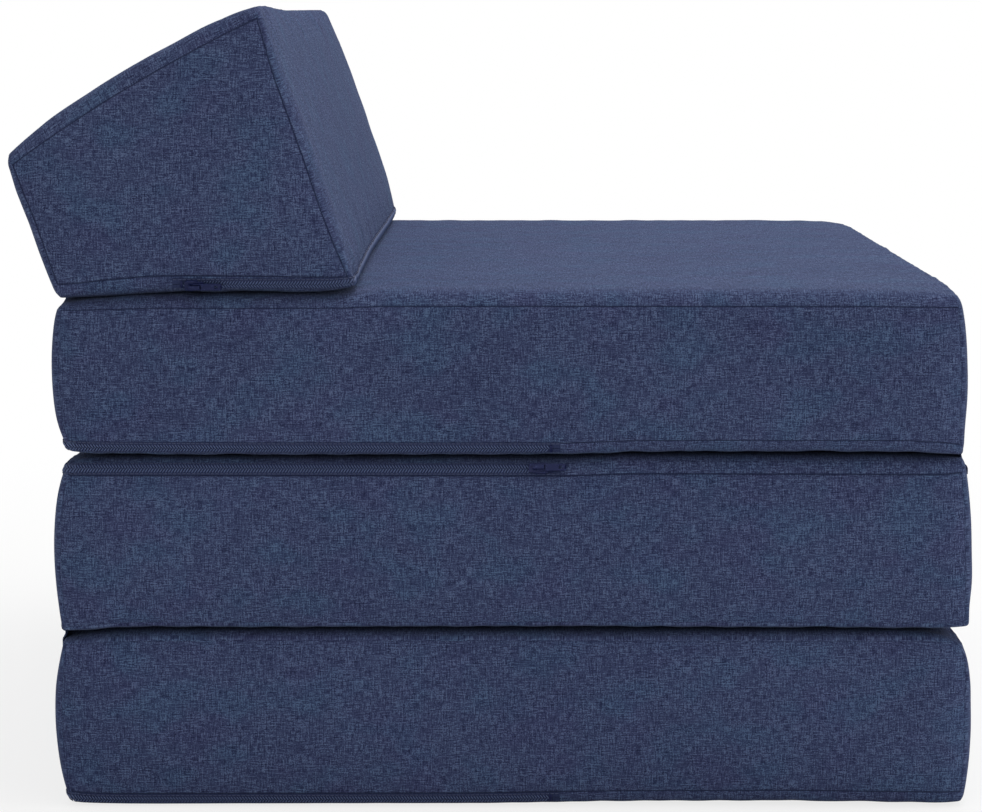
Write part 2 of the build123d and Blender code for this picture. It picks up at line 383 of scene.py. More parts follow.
def distance_from_seam(name, piece):
    """Rough distance of each point from the nearer side panel's seam, in metres."""
    grid, place = grid_place(piece), points(piece)
    corners, steps = CUSHIONS[name][1], steps_from_edge(grid)
    seams = np.array(SEAMS[name])
    nearest_seam = seams[nearest_side(grid)]
    rim = nearest_seam - EDGE_INSET
    on_rim = SEAM_STEP + (rim - SEAM_STEP) * (1 - steps)
    near = np.where(steps <= 1, on_rim, SEAM_STEP * np.abs(steps - 2))
    within = np.min([depth_from(corners, side, place) - seams[side] for side in range(4)], 0)
    near = np.where(steps > 3, np.maximum(within, SEAM_STEP), near)
    near = np.where(is_on_side(grid), near, rim + HALF_WIDTH - EDGE_DEPTH - np.abs(place[:, 0]))
    buried = (nearest_seam == NARROW_INSET) & (name != "backrest")
    return near + buried * BURIED_SEAM


# %% Simulate the cloth
SIMULATED_FRAMES = 20
CLOTH = {
    "quality": 5, "mass": 0.3, "bending_stiffness": 0.4, "shrink_min": -0.012,
    "use_pressure": True, "uniform_pressure_force": 4, "vertex_group_mass": "sewn",
}
starts = {}
for name, cover in covers.items():
    grid = grid_place(cover)
    side, steps = is_on_side(grid), steps_from_edge(grid)
    at_corner = np.abs(grid[:, 1:] - 3.5).min(1) > 3.5 - ON_LINE
    held = side & (steps < 3 + ON_LINE) | at_corner
    place = points(cover)
    corners = CUSHIONS[name][1]
    run = np.where(side, 1.0, HALF_WIDTH - np.abs(place[:, 0]))
    for number in range(4):
        depth = depth_from(corners, number, place) - SEAMS[name][number]
        from_corner = np.linalg.norm(place[:, 1:] - corners[number], axis=1)
        run = np.minimum(run, np.where(side, depth, from_corner))
    loose = smooth_step(run, 0, LOOSE_RUN) * ~held
    starts[name] = place
    starts[name] = place - normals(cover) * (SLACK * loose)[:, None]
    move_points(cover, starts[name])
    group = cover.vertex_groups.new(name="sewn")
    group.add([int(n) for n in np.flatnonzero(held)], 1.0, "REPLACE")
    cloth = cover.modifiers.new("Cloth", "CLOTH")
    for setting, value in CLOTH.items():
        setattr(cloth.settings, setting, value)
    cloth.settings.effector_weights.gravity = 0
    cloth.point_cache.frame_end = SIMULATED_FRAMES

for step in range(1, SIMULATED_FRAMES + 1):
    bpy.context.scene.frame_set(step)
for cover in covers.values():
    apply_modifier(cover, "Cloth")
    cover.vertex_groups.clear()

# %% [markdown]
# ## How the cushions settle
# The blocks lie on each other with almost no air between, but their edges aren't straight: the
# cover lifts here and droops there, and the backrest presses the seat's rear edge down. One more
# simulation could do this, but then nobody could say where an edge should be. So listed curves give
# how far each long edge is up or down, and those of neighbours never cross. The ends stand out a
# little, the top pieces lie askew, and the far side is straight at its sliders.

# %% The wavy edges
# Each curve is a list of (place along the sofa, height above the straight edge), in metres.
FLOOR_EDGE = (
    (-0.33, 0), (-0.2, 0.0018), (-0.08, 0.0012), (0.03, -0.001), (0.28, -0.002), (0.33, -0.001),
)
BOTTOM_TOP = ((-0.33, 0.003), (0.19, 0.003), (0.282, 0.0025), (0.33, -0.0012))
MIDDLE_LOW = (
    (-0.33, 0.0035), (-0.064, 0.0046), (0.19, 0.0038), (0.28, 0.004), (0.33, -0.0008),
)
MIDDLE_TOP = (
    (-0.335, 0.008), (-0.315, 0.0052), (-0.085, 0.0058), (-0.042, 0.004), (0.33, 0.004),
)
SEAT_LOW = (
    (-0.335, 0.0006), (-0.315, 0.0054), (-0.28, 0.0072), (-0.23, 0.007), (-0.137, 0.0072),
    (-0.085, 0.0068), (-0.042, 0.0046), (0.2, 0.0044), (0.33, 0.0052),
)
SEAT_TOP = (
    (-0.33, -0.002), (-0.25, 0), (0.07, 0), (0.1, -0.0003), (0.12, -0.0034), (0.256, -0.0034),
    (0.29, -0.0058), (0.34, -0.0096),
)
WEDGE_LOW = (
    (0.1, 0), (0.105, 0), (0.12, -0.0036), (0.256, -0.0036), (0.29, -0.0066), (0.34, -0.011),
)
WEDGE_TOP = ((0.16, 0.002), (0.19, 0.0026), (0.26, 0), (0.3, -0.001), (0.36, -0.003))
# The lower and the upper edge: each one's curve, how deep it reaches into the cushion, how far
# it reaches from the sofa's side towards its middle, and how much it rolls inwards as it moves.
# The edges with the two near sliders roll so that the pins stay on the joints' axes.
DEEP, WIDE, ROLL = 0.045, 0.09, 0.5
EDGES = {
    "bottom": ((FLOOR_EDGE, DEEP, WIDE, 0), (BOTTOM_TOP, DEEP, WIDE, 0)),
    "middle": ((MIDDLE_LOW, DEEP, WIDE, 0), (MIDDLE_TOP, DEEP, WIDE, ROLL)),
    "seat": ((SEAT_LOW, DEEP, WIDE, 0), (SEAT_TOP, 0.02, WIDE, 0)),
    "backrest": ((WEDGE_LOW, 0.05, WIDE, ROLL), (WEDGE_TOP, 0.06, 0.3, 0)),
}
# An edge moves as a whole up to this far from the side.
WHOLE_RUN = 0.015
# Each curve is a list of (share of the cushion's height, how far its end stands out), in metres.
FRONT_ENDS = {
    "bottom": ((0, 0.002), (0.3, 0), (0.6, -0.0005), (0.85, 0.0025), (1, 0.006)),
    "middle": ((0, 0.006), (0.15, 0.0015), (0.5, -0.002), (0.8, -0.0015), (1, 0)),
    "seat": ((0, -0.001), (0.2, -0.0055), (0.6, -0.0068), (1, -0.0055)),
}
REAR_ENDS = {
    "bottom": ((0, -0.006), (0.12, -0.0025), (0.5, -0.001), (1, 0)),
    "middle": ((0, 0.001), (0.3, -0.0018), (0.8, -0.002), (1, -0.005)),
    "seat": ((0, -0.006), (0.2, -0.003), (0.6, -0.0018), (1, -0.001)),
}
END_RUN = 0.06
# How far the edge beside the upper seam is rounded off, on the two cushions where it shows, and
# between which distances from the side this fades out.
TOP_ROUNDINGS = {"seat": 0.0015, "backrest": 0.003}
ROUNDING_RUN = (0.002, 0.014)
# The far side waves less, and not at all behind this place, where its sliders run.
FAR_SHARE, FAR_STRAIGHT, FAR_RUN = 0.6, -0.045, 0.08
# The top pieces lie a little askew: how far each one's near and far side are moved to the rear.
SIDES = (-HALF_WIDTH, HALF_WIDTH)
WEDGE_SHIFTS = (0.0, -0.0064)
SEAT_FRONT_SHIFTS = (0.0, 0.006)
# How far the backrest's near corners are drawn out, from its front bottom one, counterclockwise,
# how far round a corner that reaches, how it fades across the sofa, and the share that goes up.
CORNER_PULLS = (0.0062, 0.0016, 0.0, 0.0062)
PULL_RUN, PULL_FADE, FADED_PULL, PULL_UP = 0.06, 0.3, 0.2, 0.4
CURVE_END, CURVE_STEPS, CURVE_WINDOW = 0.4, 801, 41


def curve_height(curve, place):
    """The height of a curve of listed points, rounded at those points."""
    along = np.linspace(-CURVE_END, CURVE_END, CURVE_STEPS)
    level = np.pad(np.interp(along, *zip(*curve)), CURVE_WINDOW // 2, "edge")
    window = np.hanning(CURVE_WINDOW)
    return np.interp(place, along, np.convolve(level, window / window.sum(), "valid"))


def wave_edges(name, places):
    """How far up and inwards the waves of its long edges move a cushion's points."""
    x, y, _ = places.T
    corners, from_side = CUSHIONS[name][1], HALF_WIDTH - np.abs(x)
    lift, inward = np.zeros(len(x)), np.zeros(len(x))
    far = FAR_SHARE * smooth_step(FAR_STRAIGHT - y, 0, FAR_RUN)
    for side, (curve, deep, wide, roll) in zip((0, 2), EDGES[name]):
        share = 1 - smooth_step(depth_from(corners, side, places), 0, deep)
        share *= 1 - smooth_step(from_side, WHOLE_RUN, wide)
        moved = curve_height(curve, y) * share * np.where(x > 0, far, 1)
        lift, inward = lift + moved, inward + roll * np.abs(moved)
    beside_top = 1 - smooth_step(depth_from(corners, 2, places), 0, WIDE_INSET)
    beside_edge = 1 - smooth_step(from_side, *ROUNDING_RUN)
    return lift, inward + TOP_ROUNDINGS.get(name, 0) * beside_top * beside_edge


def draw_corners(places):
    """How far to the rear and up the backrest's corners draw its points."""
    x = places[:, 0]
    out, lift = np.interp(x, SIDES, WEDGE_SHIFTS), np.zeros(len(x))
    to_near = np.interp(x, (-HALF_WIDTH, PULL_FADE - HALF_WIDTH), (1, FADED_PULL))
    for corner, pull in zip(WEDGE_CORNERS, CORNER_PULLS):
        away = np.linalg.norm(places[:, 1:] - corner, axis=1)
        share = pull * to_near * (1 - smooth_step(away, 0, PULL_RUN))
        outward = corner - WEDGE_CORNERS.mean(0)
        along, up = outward / np.linalg.norm(outward)
        out, lift = out + share * along, lift + share * max(up, 0) * PULL_UP
    return out, lift


def push_ends(name, places):
    """How far to the rear a block's ends move its points."""
    x, y, _ = places.T
    height = depth_from(CUSHIONS[name][1], 0, places) / THICKNESS
    out = np.zeros(len(x))
    for ends, hand in ((FRONT_ENDS, -1), (REAR_ENDS, 1)):
        share = smooth_step(hand * y, HALF_LENGTH - END_RUN, HALF_LENGTH)
        out += hand * share * np.interp(height, *zip(*ends[name]))
        if name == "seat" and hand < 0:
            out += share * np.interp(x, SIDES, SEAT_FRONT_SHIFTS)
    return out


def settle(name, places):
    """How far a cushion's points move as it settles, as rows of three numbers."""
    lift, inward = wave_edges(name, places)
    out, drawn = draw_corners(places) if name == "backrest" else (push_ends(name, places), 0)
    return np.column_stack((-np.sign(places[:, 0]) * inward, out, lift + drawn))


# %% Settle the covers
CAP = 0.004
GROOVE = 0.0006
for name, cover in covers.items():
    grid, start = grid_place(cover), starts[name]
    moved = points(cover) - start
    far = np.linalg.norm(moved, axis=1)[:, None]
    place = start + moved * CAP * np.tanh(far / CAP) / np.maximum(far, 1e-9)
    corners = CUSHIONS[name][1]
    place[:, 2] = np.maximum(place[:, 2], corners[0][1])
    if name != "backrest":
        place[:, 2] = np.minimum(place[:, 2], corners[2][1])
    place += settle(name, place)
    place[:, 2] = np.maximum(place[:, 2], 0)
    move_points(cover, place)
    seam = is_on_side(grid) & (np.abs(steps_from_edge(grid) - 2) < ON_LINE)
    move_points(cover, place - normals(cover) * (seam * GROOVE)[:, None])
    print(cover.name, "moved by up to", round(float(far.max()) * 1000, 1), "mm before the cap")

# %% Smooth the covers
for name, cover in covers.items():
    modify(cover, "SUBSURF", levels=1, render_levels=1)
    bpy.ops.object.shade_smooth()

# %% [markdown]
# ## A flat map of the cloth
# A weave follows the cloth and not the room, so the material needs to know where each piece of
# cloth lies flat. Unwrapping could do this, but a cover is simple: a side panel is already
# flat, and the band is a strip that runs once round the outline. Both maps are in metres.

# %% Map the covers
def map_cover(name, cover):
    """Gives a cover its flat map in metres, and each point its distance from the seam."""
    corners = CUSHIONS[name][1]
    mesh, grid, place = cover.data, grid_place(cover), points(cover)
    loops = read(mesh.polygons, "loop_start", 1, np.int32) + np.arange(4)
    quads = read(mesh.loops, "vertex_index", 1, np.int32)[loops, 0]
    middle = grid[quads].mean(1)
    steps = steps_from_edge(middle)
    panel = is_on_side(middle) & (steps > 2)
    side = nearest_side(middle)
    around, rim, offset = np.zeros((len(quads), 4)), np.zeros((len(quads), 4)), 0
    for number in range(4):
        start, along, length = side_line(corners, number)
        run = (place[quads][:, :, 1:] - start) @ along + offset
        inward = np.interp(steps_from_edge(grid)[quads], range(4), insets(name, number))
        around = np.where(side[:, None] == number, run, around)
        rim = np.where(side[:, None] == number, inward - EDGE_INSET, rim)
        offset += length
    hand = np.sign(middle[:, 0] - 1.5)[:, None]
    beyond = hand * (HALF_WIDTH - EDGE_DEPTH + rim)
    across = np.where(is_on_side(middle)[:, None], beyond, place[quads][:, :, 0])
    u = np.where(panel[:, None], -hand * place[quads][:, :, 1] + 2 * hand + 5, around)
    v = np.where(panel[:, None], place[quads][:, :, 2], across)
    layer = mesh.uv_layers.new(name="cloth")
    flat = np.zeros((len(mesh.loops), 2))
    flat[loops.ravel()] = np.stack((u, v), 2).reshape(-1, 2)
    layer.data.foreach_set("uv", flat.ravel())
    seam = mesh.attributes.new("seam_distance", "FLOAT", "POINT")
    seam.data.foreach_set("value", distance_from_seam(name, cover).astype(np.float32))
    print(cover.name, "is mapped,", round(float(offset), 3), "m round")


for name, cover in covers.items():
    map_cover(name, cover)

# %% [markdown]
# ## The foam inside
# The foam fills its cover. It could be the cover's mesh made smaller, but the foam is plainer:
# it has no seam and needs fewer points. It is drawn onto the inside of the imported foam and
# settles with the same curves, so it never shows through the cloth.

# %% Make the foam cores
FOAM_CUTS = {"backrest": (24, 7, 6)}
FOAM_LIFT, FOAM_INSET = 0.0001, 0.0025
foams = {}
for name in CUSHIONS:
    foam = cushion_grid(f"{name}_foam", *FOAM_CUTS.get(name, (24, 20, 4)))
    move_points(foam, lay_grid(grid_place(foam), name))
    draw_onto(foam, frame["nodes"][f"{name}_foam_core"], FOAM_LIFT)
    place = points(foam) - normals(foam) * FOAM_INSET
    move_points(foam, place + settle(name, place))
    bpy.ops.object.shade_smooth()
    foams[name] = foam
    print(foam.name, len(foam.data.vertices), "points")

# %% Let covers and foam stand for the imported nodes
for name, cover in covers.items():
    parts = [f"{name}_cover_{part}" for part in ("band", "left_panel", "right_panel")]
    body = CUSHIONS[name][0]
    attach(cover, body)
    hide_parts(*parts)
    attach(foams[name], body)
    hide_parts(f"{name}_foam_core")

# %% [markdown]
# ## The zippers
# Each cover has a zipper that starts on one side, runs round an end and stops on the other side.
# It is a woven tape in two halves, each with a coil of nylon teeth that lock in a herringbone.
# A curve modifier could bend it, but it twists where the line turns over an edge. So every
# part is first made straight, along X, and then each of its points is laid on the finished
# cover, at its own distance along the line, to the side of it and above the cloth.

# %% The line of each zipper
# Height of its middle, where its tape ends, its slider's place and side, and the end of the
# sofa where it turns, 1 at the rear.
ZIPPERS = {
    "bottom": (0.0066, -0.035, -0.0186, 1, 1),
    "middle": (0.2440, -0.035, -0.0186, -1, 1),
    "seat": (0.2585, -0.035, -0.0186, 1, 1),
    "backrest": (0.3842, 0.244, 0.2276, -1, -1),
}
TURN_RADIUS = 0.009
LINE_STEP = 0.0005
PLACE_BLUR, OUTWARD_BLUR = 15, 25
# A line is first drawn this far within the sides, beyond a block's rear, and within the
# backrest's front.
SIDE_START, BLOCK_START, WEDGE_START = 0.0018, 0.001, 0.0025


def run_along(rows):
    """How far along a line of places each one lies."""
    return np.concatenate(([0], np.cumsum(np.linalg.norm(np.diff(rows, axis=0), axis=1))))


def blurred(rows, count):
    """Rows of numbers, each averaged with its neighbours."""
    window = np.hanning(count + 2)[1:-1]
    window /= window.sum()
    padded = np.pad(rows, ((count // 2, count // 2), (0, 0)), "edge")
    return np.column_stack([np.convolve(column, window, "valid") for column in padded.T])


def unit(rows):
    """Directions of length 1."""
    return rows / np.linalg.norm(rows, axis=1)[:, None]


def surface_of(piece):
    """A tree that finds the nearest place on a piece."""
    return BVHTree.FromObject(piece, bpy.context.evaluated_depsgraph_get())


def nearest(tree, places):
    """The nearest places on a surface, and the outward directions there."""
    hits = [tree.find_nearest(Vector(place))[:2] for place in places]
    return np.array([hit[0] for hit in hits]), np.array([hit[1] for hit in hits])


def zipper_line(name, tree):
    """Distance, place, direction, side and outward direction along a zipper."""
    height, tape_end, _, _, turn = ZIPPERS[name]
    x, r = HALF_WIDTH - SIDE_START, TURN_RADIUS
    y = HALF_LENGTH + BLOCK_START if turn > 0 else WEDGE_CORNERS[0][0] + WEDGE_START
    bend = np.linspace(0, math.pi / 2, 24)
    first = np.column_stack((r - x - r * np.cos(bend), y - turn * r * (1 - np.sin(bend))))
    plan = np.vstack(((-x, tape_end), first, (first * (-1, 1))[::-1], (x, tape_end)))
    run = run_along(plan)
    at = np.arange(0, run[-1], LINE_STEP)
    places = np.column_stack([np.interp(at, run, column) for column in plan.T] + [at * 0 + height])
    hits, outward = nearest(tree, places + settle(name, places))
    places, outward = blurred(hits, PLACE_BLUR), unit(blurred(outward, OUTWARD_BLUR))
    direction = unit(np.gradient(places, axis=0))
    side = unit(np.cross(outward, direction))
    return run_along(places), places, direction, side, np.cross(direction, side)


def along_line(line, column, distance):
    """One of a line's columns of vectors, read at given distances."""
    return np.column_stack([np.interp(distance, line[0], part) for part in line[column].T])


trees = {name: surface_of(cover) for name, cover in covers.items()}
lines = {name: zipper_line(name, trees[name]) for name in ZIPPERS}
for name, line in lines.items():
    print(name, "zipper is", round(float(line[0][-1]), 3), "m long")


# %% Straight parts and how they are laid
def slab(name, size, place, bevel=0.0, segments=2):
    """A block, with rounded edges if it has a bevel."""
    piece = box(name, size, place)
    if bevel:
        edit(bpy.ops.mesh.bevel, offset=bevel, segments=segments, affect="EDGES")
    return piece


def repeat(piece, count, step):
    """Copies a piece along X."""
    modify(
        piece, "ARRAY", use_relative_offset=False, use_constant_offset=True,
        constant_offset_displace=(step, 0, 0), count=count,
    )


def join(pieces, name):
    """Makes several pieces one."""
    deselect_all()
    for piece in pieces:
        piece.select_set(True)
    bpy.context.view_layer.objects.active = pieces[0]
    bpy.ops.object.join()
    pieces[0].name = pieces[0].data.name = name
    return pieces[0]


def lay(piece, line, tree):
    """Lays a straight piece on a cover: X along the zipper's line, Y beside it, Z outwards."""
    flat = points(piece)
    keep = piece.data.attributes.new("flat_place", "FLOAT_VECTOR", "POINT")
    keep.data.foreach_set("vector", flat.astype(np.float32).ravel())
    base = along_line(line, 1, flat[:, 0]) + along_line(line, 3, flat[:, 0]) * flat[:, 1:2]
    hits, _ = nearest(tree, base)
    move_points(piece, hits + along_line(line, 4, flat[:, 0]) * flat[:, 2:3])


# %% [markdown]
# ### Tape, teeth and stitches
# One tooth of the coil is a short nylon bar with rounded ends, set aslant. It is modelled once
# and an array repeats it 2.1 mm apart. Two rows that lean the same way along the zipper make the
# herringbone. Each half of the tape is sewn down with a row of short stitches.

# %% Make tape, teeth, stitches and end stops
TAPE_EDGE, TAPE_SLIT, TAPE_HEIGHT = 0.0046, 0.0003, 0.0006
TAPE_TAIL, TAPE_CUT = 0.008, 0.004
TOOTH_PITCH, TOOTH_SLANT = 0.0021, 0.6
TOOTH_BESIDE, TOOTH_UP, TOOTH_RADII = 0.0015, 0.00095, (0.0006, 0.0006, 0.0018)
STITCH_PITCH, STITCH_START, STITCH_SIZE = 0.0034, 0.002, (0.0025, 0.0005, 0.0004)
STITCH_BESIDE, STITCH_UP = 0.0040, 0.0007
STOP_INSET, STOP_UP, STOP_SIZE = 0.0067, 0.00105, (0.002, 0.006, 0.0013)


def tape_half(side, length):
    """One half of a zipper's tape, straight."""
    width = TAPE_EDGE - TAPE_SLIT
    place = (length / 2, side * (width / 2 + TAPE_SLIT), TAPE_HEIGHT / 2)
    half = slab("tape", (length, width, TAPE_HEIGHT), place)
    cut_strips(half, 0, 0, length, int(length / TAPE_CUT))
    cut_strips(half, 1, *sorted((side * TAPE_SLIT, side * TAPE_EDGE)), 3)
    return half


def tooth_row(side, length):
    """One row of teeth, straight."""
    tooth = add(
        bpy.ops.mesh.primitive_uv_sphere_add, "tooth", segments=6, ring_count=5, radius=1,
        location=(0, side * TOOTH_BESIDE, TOOTH_UP), rotation=(math.pi / 2, 0, 0),
        scale=TOOTH_RADII,
    )
    shape = points(tooth)
    shape[:, 0] += TOOTH_SLANT * np.abs(shape[:, 1]) + TAPE_TAIL + (side > 0) * TOOTH_PITCH / 2
    move_points(tooth, shape)
    repeat(tooth, int((length - 2 * TAPE_TAIL) / TOOTH_PITCH), TOOTH_PITCH)
    return tooth


def stitch_row(side, length):
    """One row of stitches, straight."""
    place = (STITCH_START, side * STITCH_BESIDE, STITCH_UP)
    stitch = slab("stitch", STITCH_SIZE, place, 0.00015, 1)
    repeat(stitch, int((length - 2 * STITCH_START) / STITCH_PITCH), STITCH_PITCH)
    return stitch


def stop(distance):
    """One end stop, clamped over both coils."""
    return slab("stop", STOP_SIZE, (distance, 0, STOP_UP), 0.0003)


zips = {}
for name, line in lines.items():
    length = float(line[0][-1])
    made = {
        "tape": [tape_half(side, length) for side in (-1, 1)],
        "teeth": [tooth_row(side, length) for side in (-1, 1)],
        "stitches": [stitch_row(side, length) for side in (-1, 1)],
        "stops": [stop(STOP_INSET), stop(length - STOP_INSET)],
    }
    for part, rows in made.items():
        piece = join(rows, f"{name}_zipper_{part}")
        lay(piece, line, trees[name])
        bpy.ops.object.shade_smooth_by_angle(angle=math.radians(50))
        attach(piece, CUSHIONS[name][0])
        zips[name, part] = piece
    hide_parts(f"{name}_zip_tapes")
    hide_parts(f"{name}_zip_coils")
    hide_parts(f"{name}_zip_stops")
    print(name, "zipper:", len(zips[name, "teeth"].data.polygons), "faces of teeth")

# %% [markdown]
# ### Slider and pull
# The slider is a small painted casting: a top plate with shoulders where the two coils enter,
# two side flanges that hold them, and a bridge for the pull. The pull is a flat plate with a
# window that goes round the bridge and a hole at its end. Both could be carved from one block,
# but separate blocks with rounded edges are closer to how such a part is cast.

# %% Model the slider and the pull once
# Where a slider's narrow tail and wide mouth start, and the shares of the width that they have.
TAIL_FROM, TAIL_SHARE, MOUTH_FROM, MOUTH_SHARE = 0.0029, 0.8, -0.0069, 0.86
PULL_END, HOLE_PLACE = -0.0200, (-0.0158, 0, 0)


def round_edges(piece, width):
    """Rounds a piece's sharp edges."""
    sharp = math.radians(40)
    modify(piece, "BEVEL", width=width, segments=2, limit_method="ANGLE", angle_limit=sharp)


def make_slider():
    """A slider with its wide mouth towards -X and its foot on the tape."""
    plate = slab("plate", (0.014, 0.0084, 0.0010), (0, 0, 0.0020))
    for place in (-0.002, 0.003):
        cut_line(plate, 0, place)
    shape = points(plate)
    shape[:, 1] *= np.where(shape[:, 0] > TAIL_FROM, TAIL_SHARE, 1.0)
    shape[:, 1] *= np.where(shape[:, 0] < MOUTH_FROM, MOUTH_SHARE, 1.0)
    move_points(plate, shape)
    parts = [plate]
    for side in (-1, 1):
        parts.append(slab("flange", (0.0085, 0.0006, 0.0011), (-0.0012, side * 0.0039, 0.0010)))
        parts.append(slab("post", (0.0010, 0.0032, 0.0024), (side * 0.0037, 0, 0.0035)))
    parts.append(slab("bar", (0.0084, 0.0032, 0.0010), (0, 0, 0.0051)))
    slider = join(parts, "slider")
    round_edges(slider, 0.00028)
    return slider


def make_pull():
    """A pull that lies towards -X from its pin at the origin."""
    pull = slab("pull", (0.0206, 0.0052, 0.0010), (-0.0097, 0, 0))
    work_on(pull)
    corners = np.abs(points(pull)[:, 0] - PULL_END) < SAME_PLACE
    pull.data.vertices.foreach_set("select", corners)
    bpy.context.tool_settings.mesh_select_mode = (True, False, False)
    edit(bpy.ops.mesh.bevel, False, offset=0.0016, segments=4, affect="EDGES")
    window = slab("window", (0.0044, 0.0036, 0.004), (-0.0028, 0, 0))
    hole = add(
        bpy.ops.mesh.primitive_cylinder_add, "hole",
        vertices=24, radius=0.0013, depth=0.004, location=HOLE_PLACE,
    )
    for cutter in (window, hole):
        modify(pull, "BOOLEAN", operation="DIFFERENCE", object=cutter, solver="EXACT")
        bpy.data.objects.remove(cutter)
    round_edges(pull, 0.0002)
    return pull


slider_model, pull_model = make_slider(), make_pull()
print("slider", len(slider_model.data.polygons), "faces, pull", len(pull_model.data.polygons))

# %% Put a slider and a pull on every zipper
# A slider runs straight and its pull turns on a fixed pin, so both are placed as packed. Beside
# them the zipper's line is straight too.
BASE_X, PIN_HEIGHT = 0.3792, 0.0037
for name, (height, _, slider_y, hand, turn) in ZIPPERS.items():
    forward = np.array((0, 1.0, 0))
    outward = unit(np.array([(2.0 * hand, 0, 1 if name == "middle" else -1)]))[0]
    frame_axes = np.array((forward, np.cross(outward, forward), outward)).T
    place = np.array([(hand * BASE_X, slider_y, height)])
    place = (place + settle(name, place))[0]
    for part, model, lift, flip in (
        ("slider", slider_model, 0.0, turn),
        ("pull", pull_model, PIN_HEIGHT, 1),
    ):
        piece = model.copy()
        piece.data = model.data.copy()
        bpy.context.collection.objects.link(piece)
        piece.name = piece.data.name = f"{name}_zipper_{part}"
        shape = points(piece) * (flip, flip, 1) + (0, 0, lift)
        move_points(piece, shape @ frame_axes.T + place)
        work_on(piece)
        bpy.ops.object.shade_smooth_by_angle(angle=math.radians(35))
        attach(piece, f"{name}_{part}")
        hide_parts(f"{name}_zip_{part}")
        zips[name, part] = piece
for model in (slider_model, pull_model):
    bpy.data.objects.remove(model)
print("sliders and pulls:", sum(part in ("slider", "pull") for _, part in zips))

# %% [markdown]
# ## The fabric hinges
# A strip of the cover's cloth is sewn between two neighbouring cushions and lies in the notch
# between their corners. It has to fold flat when the sofa opens. A strip could ride on one block,
# but then it would tear off the other. Here its lower half is laid on one cushion and its upper
# half on the other, and it has no points in the middle of the fold, where it stays one flat web.

# %% Make the hinge strips
# Each one's imported node, the cushions that it joins, the fold's height, its end of the sofa, 1 at
# the rear, and half its length. The backrest's is shorter, because the corners sag beside it.
HINGES = {
    "rear_hinge_cloth": ("rear_hinge_strip", "bottom", "middle", 0.12555, 1, 0.366),
    "front_hinge_cloth": ("front_hinge_strip", "middle", "seat", 0.25125, -1, 0.366),
    "backrest_hinge_cloth": ("backrest_hinge_strip", "seat", "backrest", 0.37695, 1, 0.3),
}
CORNER_RADIUS = 0.010
STRIP_LIFT, STRIP_THICKNESS = 0.0008, 0.0007
SEWN_LIFTS = np.array((0.2, 0.8, 1, 1, 1, 1))
# A strip follows an arc round each corner, whose middle lies this far in and down.
ARC = np.radians((8, 20, 32, 43, 53, 61))
ARC_IN, ARC_DOWN = 0.0083, 0.01015
# Half of the flat web in the middle of the fold, and how soon the strip lies on the covers.
WEB, WEB_RUN = 0.0004, 0.006
hinges = {}
for name, (node, lower, upper, fold, turn, half_length) in HINGES.items():
    out = HALF_LENGTH - ARC_IN + (CORNER_RADIUS + STRIP_LIFT) * np.cos(ARC)
    down = np.maximum(ARC_DOWN - (CORNER_RADIUS + STRIP_LIFT) * np.sin(ARC), WEB)
    rows = [(turn * y, fold - z) for y, z in zip(out, down)]
    rows += [(turn * y, fold + z) for y, z in zip(out[::-1], down[::-1])]
    cuts = {"x_subdivisions": 80, "y_subdivisions": len(rows) - 1}
    strip = add(bpy.ops.mesh.primitive_grid_add, name, size=2, **cuts)
    grid = points(strip)
    row = np.rint((grid[:, 1] + 1) / 2 * (len(rows) - 1)).astype(int)
    place = np.column_stack((grid[:, 0] * half_length, np.array(rows)[row]))
    lifts = np.concatenate((SEWN_LIFTS, SEWN_LIFTS[::-1]))[row, None] * STRIP_LIFT
    below, above = row < len(ARC), row >= len(ARC)
    for half, cushion in ((below, lower), (above, upper)):
        hits, outward = nearest(trees[cushion], place[half])
        blend = np.clip(1 - (np.abs(hits[:, 2:] - fold) - WEB) / WEB_RUN, 0, 1)
        place[half] = hits + outward * lifts[half] * (1 - blend) + (place[half] - hits) * blend
    place[below, 2] = np.minimum(place[below, 2], fold - WEB)
    place[above, 2] = np.maximum(place[above, 2], fold + WEB)
    move_points(strip, place)
    layer = strip.data.uv_layers.active or strip.data.uv_layers.new()
    layer.name = "cloth"
    run = run_along(rows)
    corner = read(strip.data.loops, "vertex_index", 1, np.int32)[:, 0]
    flat = np.column_stack((run[row][corner], place[corner, 0] + 9))
    layer.data.foreach_set("uv", flat.ravel())
    modify(strip, "SOLIDIFY", thickness=STRIP_THICKNESS, offset=0)
    bpy.ops.object.shade_smooth()
    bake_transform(strip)
    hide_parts(node)
    hinges[name] = strip
    print(name, len(strip.data.polygons), "faces,", round(float(run[-1]) * 1000, 1), "mm wide")

# %% [markdown]
# ## Finishes
# The nodes of a finish could be wired one by one, but sums of noises are easier to read as
# sums. So a small class stands for one output of a node, and Python's own signs add the maths
# nodes. What varies over a surface goes only to its colour, its roughness and its bumps.

# %% Write shader maths as sums
class Signal:
    """An output of a node, which can be used in sums as a number can."""

    def __init__(self, nodes, socket):
        self.nodes, self.socket = nodes, socket


def teach_sign(sign, operation):
    """Makes one of Python's signs beside a signal add a maths node."""
    def before(self, other):
        return self.nodes.node("Math", {"operation": operation}, {0: self, 1: other})

    def after(self, other):
        return self.nodes.node("Math", {"operation": operation}, {0: other, 1: self})

    setattr(Signal, f"__{sign}__", before)
    setattr(Signal, f"__r{sign}__", after)


SIGNS = {"add": "ADD", "sub": "SUBTRACT", "mul": "MULTIPLY", "truediv": "DIVIDE"}
for sign, operation in SIGNS.items():
    teach_sign(sign, operation)


